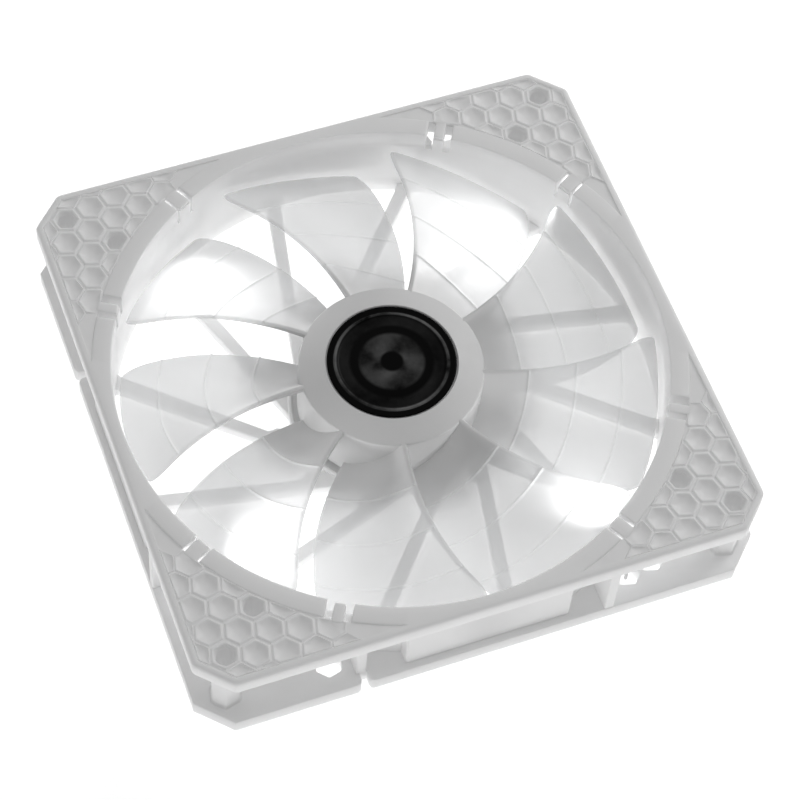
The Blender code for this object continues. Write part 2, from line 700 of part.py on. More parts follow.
# --- Lighting ----------------------------------------------------------------------------------
def make_led(quarter):
    """A 3 mm LED with a domed lens; it points along -X before it is turned to its quarter."""
    profile = [(0.0, 0.0)]
    for k in range(1, 6):
        turn = k / 5 * math.pi / 2
        profile.append((LED_R * math.sin(turn), -LED_R * (1 - math.cos(turn))))
    collar = LED_LENGTH - 0.0010
    profile += [(LED_R, -collar), (LED_FLANGE_R, -collar), (LED_FLANGE_R, -LED_LENGTH),
                (0.0, -LED_LENGTH)]
    led = turned("led", profile, 16)
    led.matrix_world = (Matrix.Rotation(quarter * math.pi / 2, 4, "Z")
                        @ Matrix.Translation((LED_TIP_X, LED_Y, LED_Z))
                        @ Matrix.Rotation(-math.pi / 2, 4, "Y"))
    return led


def make_lighting():
    below, above = lead_route()
    points = smooth_route(below + above, 2)
    for quarter in range(QUARTERS):
        turn = Matrix.Rotation(quarter * math.pi / 2, 4, "Z")
        as_part(make_led(quarter), f"led_{quarter + 1}", "led_clear")
        lead = tube("led_lead", [turn @ point for point in points], LEAD_R)
        as_part(lead, f"led_lead_{quarter + 1}", "lead_white")


clear_scene()
MATERIALS = new_materials()
PARTS = new_collection("case_fan")
rotor_axle = bpy.data.objects.new("rotor_axle", None)
PARTS.objects.link(rotor_axle)
make_frame()
make_bearing()
make_stator()
make_electronics()
make_lighting()
make_rotor(rotor_axle)
for part in PARTS.objects:
    if part.type == "MESH" and not part.modifiers:
        shade_round(part)
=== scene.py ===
"""Looks, light and camera for the 140 mm case fan.

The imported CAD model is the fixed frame.  The visible moulding, impeller and badge are rebuilt
finer here and stand for their CAD nodes; everything else keeps its CAD shape and gets a material.
All lengths are metres.
"""
import math

import bmesh
import bpy
from mathutils import Matrix, Vector


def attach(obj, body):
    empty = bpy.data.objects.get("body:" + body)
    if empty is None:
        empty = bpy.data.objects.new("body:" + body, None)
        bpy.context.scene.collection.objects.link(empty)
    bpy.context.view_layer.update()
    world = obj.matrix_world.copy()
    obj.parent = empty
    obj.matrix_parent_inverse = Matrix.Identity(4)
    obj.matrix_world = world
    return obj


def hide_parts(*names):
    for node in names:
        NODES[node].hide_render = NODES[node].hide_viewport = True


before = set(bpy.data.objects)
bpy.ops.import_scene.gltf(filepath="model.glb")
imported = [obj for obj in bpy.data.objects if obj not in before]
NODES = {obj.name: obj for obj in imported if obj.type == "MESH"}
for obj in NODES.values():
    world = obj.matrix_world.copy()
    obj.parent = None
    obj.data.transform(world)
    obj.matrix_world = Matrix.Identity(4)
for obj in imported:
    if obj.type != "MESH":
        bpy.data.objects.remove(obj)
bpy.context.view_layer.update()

QUARTERS = 4
LED_BEAM = (0.0560, 0.0338, 0.0222)      # where the first quarter's light leaves the duct's wall
LED_PAINTED_GLOW = (0.0613, 0.0354, 0.0215)      # middle of the painted glow, where the plastic is painted as lit from inside
LED_PAINTED_GLOW_FADE = (0.0018, 0.0036)         # distances from there at which the painted glow falls off
LED_PAINTED_GLOW_STRENGTH = 0.6
PAINTED_PLASTIC_GLOW = 0.075                     # painted glow over the whole frame, standing in for light that comes through thin white walls
BADGE_R = 0.0156
HOLE_SPACINGS = (0.1245, 0.105)          # squares on which the screw holes lie


# --- Materials ---------------------------------------------------------------------------------
def new_material(name, colour, roughness, metallic=0.0):
    material = bpy.data.materials.new(name)
    material.use_nodes = True
    shader = material.node_tree.nodes["Principled BSDF"]
    shader.inputs["Base Color"].default_value = (*colour, 1.0)
    shader.inputs["Roughness"].default_value = roughness
    shader.inputs["Metallic"].default_value = metallic
    return material, material.node_tree, shader


def noise(tree, scale, detail=3.0, roughness=0.5, stretch=None):
    coordinates = tree.nodes.new("ShaderNodeTexCoord")
    texture = tree.nodes.new("ShaderNodeTexNoise")
    texture.inputs["Scale"].default_value = scale
    texture.inputs["Detail"].default_value = detail
    texture.inputs["Roughness"].default_value = roughness
    if stretch is None:
        tree.links.new(coordinates.outputs["Object"], texture.inputs["Vector"])
    else:
        mapping = tree.nodes.new("ShaderNodeMapping")
        mapping.inputs["Scale"].default_value = stretch
        tree.links.new(coordinates.outputs["Object"], mapping.inputs["Vector"])
        tree.links.new(mapping.outputs["Vector"], texture.inputs["Vector"])
    return texture.outputs["Fac"]


def ramp(tree, source, low, high, start=0.3, end=0.7):
    """Colours or greys between two values, as a source goes from start to end."""
    node = tree.nodes.new("ShaderNodeValToRGB")
    node.color_ramp.elements[0].position = start
    node.color_ramp.elements[1].position = end
    node.color_ramp.elements[0].color = low if len(low) == 4 else (*low, 1.0)
    node.color_ramp.elements[1].color = high if len(high) == 4 else (*high, 1.0)
    tree.links.new(source, node.inputs["Fac"])
    return node.outputs["Color"]


def grey(value):
    return (value, value, value)


def bump(tree, shader, source, distance, strength=1.0):
    node = tree.nodes.new("ShaderNodeBump")
    node.inputs["Strength"].default_value = strength
    node.inputs["Distance"].default_value = distance
    tree.links.new(source, node.inputs["Height"])
    tree.links.new(node.outputs["Normal"], shader.inputs["Normal"])


def moulded(name, colour, roughness, grain=9000.0, depth=0.000012, spread=0.05, inside=0.0):
    """Fine spark-eroded moulding texture with a faint cloudiness in colour and gloss."""
    material, tree, shader = new_material(name, colour, roughness)
    cloud = noise(tree, 45.0, 4.0)
    dark = tuple(c * (1 - spread) for c in colour)
    tree.links.new(ramp(tree, cloud, dark, colour), shader.inputs["Base Color"])
    patches = noise(tree, 320.0, 3.0)
    tree.links.new(ramp(tree, patches, grey(roughness - 0.05), grey(roughness + 0.07)),
                   shader.inputs["Roughness"])
    bump(tree, shader, noise(tree, grain, 2.0, 0.6), depth)
    shader.inputs["Subsurface Weight"].default_value = inside
    shader.inputs["Subsurface Radius"].default_value = (1.0, 1.0, 1.0)
    shader.inputs["Subsurface Scale"].default_value = 0.0025
    return material


def paint_glow(material):
    """Paints a glow onto thin white plastic: a faint painted glow all over, and more round each LED."""
    tree = material.node_tree
    shader = tree.nodes["Principled BSDF"]
    coordinates = tree.nodes.new("ShaderNodeTexCoord")
    nearest = None
    for quarter in range(QUARTERS):
        distance = tree.nodes.new("ShaderNodeVectorMath")
        distance.operation = "DISTANCE"
        distance.inputs[1].default_value = Matrix.Rotation(quarter * math.pi / 2, 3, "Z") @ Vector(LED_PAINTED_GLOW)
        tree.links.new(coordinates.outputs["Object"], distance.inputs[0])
        if nearest is None:
            nearest = distance.outputs["Value"]
            continue
        smaller = tree.nodes.new("ShaderNodeMath")
        smaller.operation = "MINIMUM"
        tree.links.new(nearest, smaller.inputs[0])
        tree.links.new(distance.outputs["Value"], smaller.inputs[1])
        nearest = smaller.outputs["Value"]
    fade = tree.nodes.new("ShaderNodeMapRange")
    fade.interpolation_type = "SMOOTHSTEP"
    fade.inputs["From Min"].default_value, fade.inputs["From Max"].default_value = LED_PAINTED_GLOW_FADE
    fade.inputs["To Min"].default_value, fade.inputs["To Max"].default_value = LED_PAINTED_GLOW_STRENGTH, 0.0
    tree.links.new(nearest, fade.inputs["Value"])
    facing = tree.nodes.new("ShaderNodeSeparateXYZ")       # the painted glow is strongest on the faces that stand upright
    tree.links.new(tree.nodes.new("ShaderNodeNewGeometry").outputs["True Normal"], facing.inputs["Vector"])
    flat = tree.nodes.new("ShaderNodeMath")
    flat.operation = "MULTIPLY"
    tree.links.new(facing.outputs["Z"], flat.inputs[0])
    tree.links.new(facing.outputs["Z"], flat.inputs[1])
    upright = tree.nodes.new("ShaderNodeMath")
    upright.operation = "SUBTRACT"
    upright.inputs[0].default_value = 1.0
    tree.links.new(flat.outputs["Value"], upright.inputs[1])
    glow = tree.nodes.new("ShaderNodeMath")
    glow.operation = "MULTIPLY"
    tree.links.new(fade.outputs["Result"], glow.inputs[0])
    tree.links.new(upright.outputs["Value"], glow.inputs[1])
    total = tree.nodes.new("ShaderNodeMath")
    tree.links.new(glow.outputs["Value"], total.inputs[0])
    total.inputs[1].default_value = PAINTED_PLASTIC_GLOW
    tree.links.new(total.outputs["Value"], shader.inputs["Emission Strength"])
    shader.inputs["Emission Color"].default_value = (1.0, 1.0, 1.0, 1.0)
    return material


def milky(name):
    """Translucent white blades that light from the side shines into; towards the hub they are painted a
    darker grey as painted shade.
    """
    material, tree, shader = new_material(name, (0.88, 0.885, 0.89), 0.4)
    coordinates = tree.nodes.new("ShaderNodeTexCoord")
    flat = tree.nodes.new("ShaderNodeVectorMath")          # distance from the axis
    flat.operation = "MULTIPLY"
    flat.inputs[1].default_value = (1.0, 1.0, 0.0)
    tree.links.new(coordinates.outputs["Object"], flat.inputs[0])
    radius = tree.nodes.new("ShaderNodeVectorMath")
    radius.operation = "LENGTH"
    tree.links.new(flat.outputs["Vector"], radius.inputs[0])
    thinning = tree.nodes.new("ShaderNodeMapRange")
    for socket, value in (("From Min", 0.0226), ("From Max", 0.040), ("To Min", 1.0), ("To Max", 0.0)):
        thinning.inputs[socket].default_value = value
    thinning.interpolation_type = "SMOOTHSTEP"
    tree.links.new(radius.outputs["Value"], thinning.inputs["Value"])
    inwards = thinning.outputs["Result"]
    tree.links.new(ramp(tree, inwards, grey(0.50), grey(1.0), 0.0, 1.0), shader.inputs["Alpha"])
    # painted shade: the base colour goes from cloudy white out on the blades to a darker grey at the hub
    cloud_and_hub_shade = tree.nodes.new("ShaderNodeMix")
    cloud_and_hub_shade.data_type = "RGBA"
    tree.links.new(inwards, cloud_and_hub_shade.inputs["Factor"])
    cloud = noise(tree, 70.0, 3.0)
    tree.links.new(ramp(tree, cloud, (0.87, 0.875, 0.88), (0.91, 0.915, 0.92)), cloud_and_hub_shade.inputs[6])
    tree.links.new(ramp(tree, cloud, grey(0.745), grey(0.765)), cloud_and_hub_shade.inputs[7])
    tree.links.new(cloud_and_hub_shade.outputs[2], shader.inputs["Base Color"])
    shader.inputs["IOR"].default_value = 1.49
    tree.links.new(ramp(tree, noise(tree, 400.0, 3.0), grey(0.38), grey(0.50)),
                   shader.inputs["Roughness"])
    bump(tree, shader, noise(tree, 5000.0, 2.0), 0.000006)
    return material


def turned_metal(name, colour, roughness):
    material, tree, shader = new_material(name, colour, roughness, 1.0)
    lines = noise(tree, 900.0, 4.0, 0.6, (1.0, 1.0, 14.0))
    tree.links.new(ramp(tree, lines, grey(roughness - 0.08), grey(roughness + 0.12)),
                   shader.inputs["Roughness"])
    tree.links.new(ramp(tree, noise(tree, 160.0), tuple(c * 0.86 for c in colour), colour),
                   shader.inputs["Base Color"])
    bump(tree, shader, lines, 0.00001)
    return material


def badge(name):
    """Black disc with plain rings; on its middle and its outer band a soft turned sheen is painted into the
    base colour as a painted reflection.
    """
    material, tree, shader = new_material(name, grey(0.006), 0.3)
    coordinates = tree.nodes.new("ShaderNodeTexCoord")
    split = tree.nodes.new("ShaderNodeSeparateXYZ")
    tree.links.new(coordinates.outputs["Object"], split.inputs["Vector"])

    def calculated(operation, first, second=None):
        node = tree.nodes.new("ShaderNodeMath")
        node.operation = operation
        for socket, value in zip(node.inputs, (first, second)):
            if isinstance(value, float):
                socket.default_value = value
            elif value is not None:
                tree.links.new(value, socket)
        return node.outputs["Value"]

    x, y = split.outputs["X"], split.outputs["Y"]
    radius = calculated("SQRT", calculated("ADD", calculated("MULTIPLY", x, x), calculated("MULTIPLY", y, y)))
    share = calculated("DIVIDE", radius, BADGE_R)
    angle = calculated("ARCTAN2", y, x)
    # painted reflection: a swirling sheen lightens the base colour, and the rings set how bright it is in
    # each band
    swirl = calculated("ADD", calculated("MULTIPLY", angle, 3.0), calculated("MULTIPLY", share, 7.0))
    painted_sheen = calculated("ADD", calculated("MULTIPLY", calculated("SINE", swirl), 0.3),
                       calculated("MULTIPLY", noise(tree, 420.0, 4.0), 0.9))
    rings = tree.nodes.new("ShaderNodeValToRGB")
    stops = [(0.0, 0.001), (0.16, 0.001), (0.20, 0.11), (0.48, 0.080), (0.53, 0.0015), (0.63, 0.001),
             (0.68, 0.022), (0.84, 0.016), (0.86, 0.20), (0.89, 0.20), (0.905, 0.001), (1.0, 0.001)]
    while len(rings.color_ramp.elements) < len(stops):
        rings.color_ramp.elements.new(0.5)
    for element, (place, value) in zip(rings.color_ramp.elements, stops):
        element.position = place
        element.color = (value, value, value, 1.0)
    tree.links.new(share, rings.inputs["Fac"])
    mixed = tree.nodes.new("ShaderNodeMix")
    mixed.data_type = "RGBA"
    mixed.inputs[6].default_value = (0.001, 0.001, 0.001, 1.0)
    tree.links.new(painted_sheen, mixed.inputs["Factor"])
    tree.links.new(rings.outputs["Color"], mixed.inputs[7])
    tree.links.new(mixed.outputs[2], shader.inputs["Base Color"])
    tree.links.new(ramp(tree, noise(tree, 600.0), grey(0.26), grey(0.36)), shader.inputs["Roughness"])
    shader.inputs["Specular IOR Level"].default_value = 0.05
    return material


def windings(name):
    material, tree, shader = new_material(name, (0.62, 0.27, 0.12), 0.3, 1.0)
    coordinates = tree.nodes.new("ShaderNodeTexCoord")
    wave = tree.nodes.new("ShaderNodeTexWave")
    wave.bands_direction = "Z"
    wave.inputs["Scale"].default_value = 1400.0
    wave.inputs["Distortion"].default_value = 0.6
    tree.links.new(coordinates.outputs["Object"], wave.inputs["Vector"])
    tree.links.new(ramp(tree, wave.outputs["Fac"], (0.30, 0.11, 0.04), (0.72, 0.34, 0.16), 0.0, 0.8),
                   shader.inputs["Base Color"])
    bump(tree, shader, wave.outputs["Fac"], 0.00008)
    return material


def laminated(name):
    material, tree, shader = new_material(name, (0.32, 0.33, 0.35), 0.42, 1.0)
    coordinates = tree.nodes.new("ShaderNodeTexCoord")
    wave = tree.nodes.new("ShaderNodeTexWave")
    wave.bands_direction = "Z"
    wave.inputs["Scale"].default_value = 620.0
    tree.links.new(coordinates.outputs["Object"], wave.inputs["Vector"])
    tree.links.new(ramp(tree, wave.outputs["Fac"], grey(0.14), grey(0.36), 0.0, 0.4),
                   shader.inputs["Base Color"])
    bump(tree, shader, wave.outputs["Fac"], 0.00004)
    return material


def lit_lens(name):
    material, tree, shader = new_material(name, (0.95, 0.97, 1.0), 0.1)
    shader.inputs["Emission Color"].default_value = (0.98, 0.99, 1.0, 1.0)
    shader.inputs["Emission Strength"].default_value = 2.0
    tree.links.new(ramp(tree, noise(tree, 900.0), grey(0.06), grey(0.16)), shader.inputs["Roughness"])
    return material


LOOKS = {
    # the frame's plastic carries a painted glow (emission) all over and round each LED
    "frame": paint_glow(moulded("frame_white", (0.86, 0.86, 0.86), 0.46, spread=0.02, inside=0.4)),
    "impeller": milky("blade_clear"),
    "hub_badge": badge("badge_black"),
    "led": lit_lens("led_clear"),
    "led_lead": moulded("lead_white", (0.85, 0.85, 0.85), 0.5, 4000.0),
    "rear_label": moulded("label_paper", (0.74, 0.74, 0.74), 0.4, 3000.0, 0.000004, 0.03),
    "winding": windings("copper"),
    "stator_core": laminated("lamination"),
    "insulator": moulded("nylon", (0.72, 0.69, 0.60), 0.5),
    "driver_board": moulded("board_green", (0.02, 0.13, 0.05), 0.35, 2500.0, 0.00001, 0.25),
    "chip": moulded("chip_black", (0.02, 0.02, 0.02), 0.5, 7000.0),
    "magnet": moulded("magnet", (0.05, 0.05, 0.055), 0.55, 6000.0, 0.00002, 0.2),
    "steel": turned_metal("steel", (0.58, 0.58, 0.60), 0.26),
    "brass": turned_metal("brass", (0.70, 0.50, 0.22), 0.28),
    "bronze": turned_metal("bronze", (0.40, 0.25, 0.13), 0.5),
}
LOOK_OF = {
    "thrust_pad": "insulator", "oil_seal": "insulator", "hall_sensor": "chip",
    "driver_chip": "chip", "ring_magnet": "magnet", "smoothing_capacitor": "steel",
    "rotor_yoke": "steel", "shaft": "steel", "shaft_clip": "steel",
    "bearing_tube": "brass", "shaft_bush": "brass", "bearing_sleeve": "bronze",
}


def look_for(node):
    if node in LOOK_OF:
        return LOOKS[LOOK_OF[node]]
    for start in sorted(LOOKS, key=len, reverse=True):
        if node.startswith(start):
            return LOOKS[start]
    raise KeyError(node)


for node_name, node_object in NODES.items():
    for slot_index in range(len(node_object.data.materials)):
        node_object.data.materials[slot_index] = look_for(node_name)


# --- Shared shape helpers -----------------------------------------------------------------------
def new_object(name, work, smooth_angle=35):
    """A mesh object from a bmesh, smooth except across sharp edges."""
    bmesh.ops.remove_doubles(work, verts=work.verts, dist=1e-6)
    bmesh.ops.recalc_face_normals(work, faces=work.faces)
    mesh = bpy.data.meshes.new(name)
    work.to_mesh(mesh)
    work.free()
    obj = bpy.data.objects.new(name, mesh)
    bpy.context.scene.collection.objects.link(obj)
    mesh.shade_smooth()
    mesh.set_sharp_from_angle(angle=math.radians(smooth_angle))
    return obj


def circle(radius, steps, centre=(0.0, 0.0), start=0.0):
    turn = 2 * math.pi / steps
    return [Vector((centre[0] + radius * math.cos(start + k * turn),
                    centre[1] + radius * math.sin(start + k * turn))) for k in range(steps)]


def arc(radius, start, end, steps):
    return [Vector((radius * math.cos(start + (end - start) * k / steps),
                    radius * math.sin(start + (end - start) * k / steps))) for k in range(steps + 1)]


def turned_loop(loop, quarter):
    turn = Matrix.Rotation(quarter * math.pi / 2, 2)
    return [turn @ point for point in loop]


def signed_area(loop):
    return sum(a.cross(b) for a, b in zip(loop, loop[1:] + loop[:1])) / 2


def offset_loop(loop, distance):
    """The loop moved to its left by a distance, with mitred corners."""
    moved = []
    for i, point in enumerate(loop):
        before = (point - loop[i - 1]).normalized()
        after = (loop[(i + 1) % len(loop)] - point).normalized()
        left_before, left_after = Vector((-before.y, before.x)), Vector((-after.y, after.x))
        share = max(0.35, 1 + left_before.dot(left_after))
        moved.append(point + (left_before + left_after) * (distance / share))
    return moved


def rounded_corners(loop, radius, steps=4):
    """The loop with each corner replaced by an arc-like curve."""
    made = []
    for i, point in enumerate(loop):
        before, after = loop[i - 1] - point, loop[(i + 1) % len(loop)] - point
        reach = min(radius, before.length * 0.45, after.length * 0.45)
        start, end = point + before.normalized() * reach, point + after.normalized() * reach
        for k in range(steps + 1):
            t = k / steps
            made.append(start * (1 - t) ** 2 + point * 2 * t * (1 - t) + end * t ** 2)
    return made


def add_plate(work, outline, holes, bottom, top, round_top=0.0, round_bottom=0.0, steps=3):
    """A plate with rounded edges.  Outline and holes are (loop, top radius, bottom radius) or loops."""
    top_edges, bottom_edges = [], []
    for number, entry in enumerate([outline, *holes]):
        loop, r_top, r_bottom = entry if isinstance(entry, tuple) else (entry, round_top, round_bottom)
        wanted = 1 if number == 0 else -1
        if signed_area(loop) * wanted < 0:
            loop = loop[::-1]
        levels = [(0.0, bottom)]
        if r_bottom > 0:
            levels = [(r_bottom * (1 - math.sin(k / steps * math.pi / 2)),
                       bottom + r_bottom * (1 - math.cos(k / steps * math.pi / 2))) for k in range(steps + 1)]
        upper = [(0.0, top)]
        if r_top > 0:
            upper = [(r_top * (1 - math.cos(k / steps * math.pi / 2)),
                      top - r_top * (1 - math.sin(k / steps * math.pi / 2))) for k in range(steps + 1)]
        levels += upper
        rings = []
        for shift, height in levels:
            ring = offset_loop(loop, shift) if shift > 0 else loop
            rings.append([work.verts.new((p.x, p.y, height)) for p in ring])
        for low, high in zip(rings, rings[1:]):
            for i in range(len(low)):
                j = (i + 1) % len(low)
                work.faces.new((low[i], low[j], high[j], high[i]))
        for ring, store in ((rings[0], bottom_edges), (rings[-1], top_edges)):
            for i in range(len(ring)):
                store.append(work.edges.get((ring[i], ring[(i + 1) % len(ring)])))
    for edges in (bottom_edges, top_edges):
        bmesh.ops.triangle_fill(work, use_beauty=True, use_dissolve=False, edges=edges)


def add_turned(work, profile, steps, closed=False):
    """A solid of revolution about Z from (radius, height) points."""
    rings = []
    for radius, height in profile:
        if radius < 1e-7:
            rings.append([work.verts.new((0.0, 0.0, height))] * steps)
        else:
            rings.append([work.verts.new((p.x, p.y, height)) for p in circle(radius, steps)])
    pairs = list(zip(rings, rings[1:]))
    if closed:
        pairs.append((rings[-1], rings[0]))
    for low, high in pairs:
        for i in range(steps):
            j = (i + 1) % steps
            corners = []
            for corner in (low[i], low[j], high[j], high[i]):
                if corner not in corners:
                    corners.append(corner)
            if len(corners) > 2:
                work.faces.new(corners)


def moved(work_from, work_to, matrix):
    """Adds a copy of one bmesh to another, moved by a matrix."""
    copies = {v: work_to.verts.new(matrix @ v.co) for v in work_from.verts}
    for face in work_from.faces:
        work_to.faces.new([copies[v] for v in face.verts])


def arc_profile(centre, radius, start, end, steps):
    """Points round a rounded edge of a turned profile; angles in degrees from +X towards +Z."""
    return [(centre[0] + radius * math.cos(math.radians(start + (end - start) * k / steps)),
             centre[1] + radius * math.sin(math.radians(start + (end - start) * k / steps)))
            for k in range(steps + 1)]


def cut(obj, cutters):
    """Takes the cutters out of the object and applies the result."""
    for cutter in cutters:
        modifier = obj.modifiers.new("cut", "BOOLEAN")
        modifier.operation = "DIFFERENCE"
        modifier.solver = "EXACT"
        modifier.object = cutter
    bpy.context.view_layer.update()
    evaluated = obj.evaluated_get(bpy.context.evaluated_depsgraph_get())
    mesh = bpy.data.meshes.new_from_object(evaluated)
    obj.modifiers.clear()
    obj.data = mesh
    for cutter in cutters:
        bpy.data.objects.remove(cutter, do_unlink=True)
    return obj


def joined(name, objects):
    """One object from several, with their meshes side by side."""
    work = bmesh.new()
    for obj in objects:
        obj.data.transform(obj.matrix_world)
        work.from_mesh(obj.data)
        bpy.data.objects.remove(obj, do_unlink=True)
    mesh = bpy.data.meshes.new(name)
    work.to_mesh(mesh)
    work.free()
    made = bpy.data.objects.new(name, mesh)
    bpy.context.scene.collection.objects.link(made)
    mesh.shade_smooth()
    mesh.set_sharp_from_angle(angle=math.radians(35))
    return made


# --- The moulded frame --------------------------------------------------------------------------
HALF = 0.070
HEIGHT = 0.025
FLANGE = 0.005
CHAMFER = 0.0077
DUCT_R = 0.0667
DUCT_OUTER_R = 0.0682
DUCT_STEPS = 240
HOLE_R = 0.0022
BOSS_R = 0.0037           # to a corner of the hexagon
PITCH = (HOLE_SPACINGS[0] - HOLE_SPACINGS[1]) / math.sqrt(2) / 2
FIELD_U = 0.0682          # the honeycomb field ends here, short of the sides
FIELD_R = 0.0714          # and here, outside the plain ring
FIELD_CORNER = (2 * HALF - CHAMFER) / math.sqrt(2) - 0.0017
FIELD_FLOOR = 0.0236      # height of the plate under the cells
NOTCH_ANGLES = (30, 60)   # notches in the first quarter: a tab between two slots
SLOT_UNDER_R = 0.0716
SLOTS = {30: (-0.00260, -0.00185, 0.00185, 0.00260),     # an LED lights the narrow ones
         60: (-0.00315, -0.00130, 0.00130, 0.00315)}
SLOT_BOTTOM = 0.0193
TAB_TOP = 0.0246
EDGE = 0.0009             # rounding of the flanges' outer edges
SMALLEST_CELL = 3e-6
PLAIN_DEPTH = 0.00040     # of what is sunk but holds no cell
# Section through a cell: distance in from its border, depth, and how round it has become
CELL_SECTION = ((0.0, 0.00038, 0.0), (0.00020, 0.00035, 0.0), (0.00036, 0.00015, 0.0),
                (0.00047, 0.00003, 0.02), (0.00058, 0.0, 0.05), (0.00070, 0.0, 0.1),
                (0.00082, 0.00005, 0.15), (0.00100, 0.00019, 0.3), (0.00130, 0.00040, 0.5),
                (0.00165, 0.00060, 0.7), (0.00205, 0.00077, 0.85), (0.00250, 0.00090, 1.0),
                (0.00300, 0.00096, 1.0))
CELL_EDGE_STEPS = 6
SLIT_S, SLIT_WIDTH, SLIT_DEPTH = -0.0305, 0.0018, 0.0028
PLATE_HALF, PLATE_U = 0.0205, 0.0683
CABLE_RIB_S, CABLE_RIB_U, LED_RIB_S, RIB = -0.0310, 0.0672, 0.0300, 0.0025


def corner_cell(steps, beside):
    middle = sum(HOLE_SPACINGS) / 4
    turn = math.radians(105)
    place = Vector((middle - steps * PITCH * math.cos(turn), middle - steps * PITCH * math.sin(turn)))
    return place.yx if beside else place


def frame_outline():
    near = HALF - CHAMFER
    loop = []
    for quarter in range(QUARTERS):
        loop += turned_loop([Vector((HALF, -near)), Vector((HALF, near))], quarter)
    return rounded_corners(loop, 0.0009, 3)


def slitted_outline():
    """Outline of the lower flange, with the cable slit in each side."""
    near = HALF - CHAMFER
    half = SLIT_WIDTH / 2
    loop = []
    for quarter in range(QUARTERS):
        side = [Vector((HALF, -near)), Vector((HALF, SLIT_S - half - 0.0011)),
                Vector((HALF - 0.0004, SLIT_S - half - 0.0003)), Vector((HALF - 0.0011, SLIT_S - half)),
                Vector((HALF - SLIT_DEPTH, SLIT_S - half)), Vector((HALF - SLIT_DEPTH, SLIT_S + half)),
                Vector((HALF - 0.0011, SLIT_S + half)), Vector((HALF - 0.0004, SLIT_S + half + 0.0003)),
                Vector((HALF, SLIT_S + half + 0.0011)), Vector((HALF, near))]
        loop += turned_loop(side, quarter)
    return loop


def notches(quarters=QUARTERS):
    """Each notch's turn, and the sides of its two slots across that direction."""
    return [(Matrix.Rotation(math.radians(angle) + quarter * math.pi / 2, 2), SLOTS[angle])
            for quarter in range(quarters) for angle in NOTCH_ANGLES]


def duct_outline(outer):
    """The duct's edge, with the notches' slots, which reach out to a radius."""
    ends = []
    for turn, slots in notches():
        for first, second in (slots[:2], slots[2:]):
            corners = [Vector((math.sqrt(DUCT_R ** 2 - first ** 2), first)), Vector((outer, first)),
                       Vector((outer, second)), Vector((math.sqrt(DUCT_R ** 2 - second ** 2), second))]
            ends.append([turn @ corner for corner in corners])
    loop = []
    for opening, following in zip(ends, ends[1:] + ends[:1]):
        start = math.atan2(opening[-1].y, opening[-1].x)
        end = math.atan2(following[0].y, following[0].x)
        end += 2 * math.pi if end < start else 0
        count = max(1, round((end - start) / (2 * math.pi / DUCT_STEPS)))
        loop += opening + arc(DUCT_R, start, end, count)[1:-1]
    return loop


def clip(polygon, normal, limit):
    kept = []
    for i, end in enumerate(polygon):
        start = polygon[i - 1]
        before, after = start.dot(normal) - limit, end.dot(normal) - limit
        if (before < 0) != (after < 0):
            kept.append(start + (end - start) * (before / (before - after)))
        if after < 0:
            kept.append(end)
    return kept


def without_short_edges(polygon, shortest):
    kept = [p for i, p in enumerate(polygon) if (p - polygon[i - 1]).length > shortest]
    return kept if len(kept) > 2 else polygon


def honeycomb_cells():
    """(centre, outline, is it a cell) over the sunk field of the +X +Y corner."""
    diagonal = math.radians(45)
    middle = Vector((sum(HOLE_SPACINGS) / 4,) * 2)
    step_a = PITCH * Vector((math.cos(diagonal + math.pi / 3), math.sin(diagonal + math.pi / 3)))
    step_b = step_a.yx
    cells = []
    for a in range(-6, 6):
        for b in range(-6, 6):
            centre = middle + a * step_a + b * step_b
            cell = circle(PITCH / math.sqrt(3), 6, centre, diagonal + math.pi / 6)
            cell = clip(cell, Vector((1, 0)), FIELD_U)
            cell = clip(cell, Vector((0, 1)), FIELD_U)
            cell = clip(cell, Vector((1, 1)).normalized(), FIELD_CORNER)
            cell = clip(cell, -centre.normalized(), -FIELD_R)
            if len(cell) > 2 and abs(signed_area(cell)) > 1e-8:
                whole = -3 <= min(a, b) and max(a, b) < 3 and abs(signed_area(cell)) > SMALLEST_CELL
                cells.append((centre, cell, whole))
    return cells


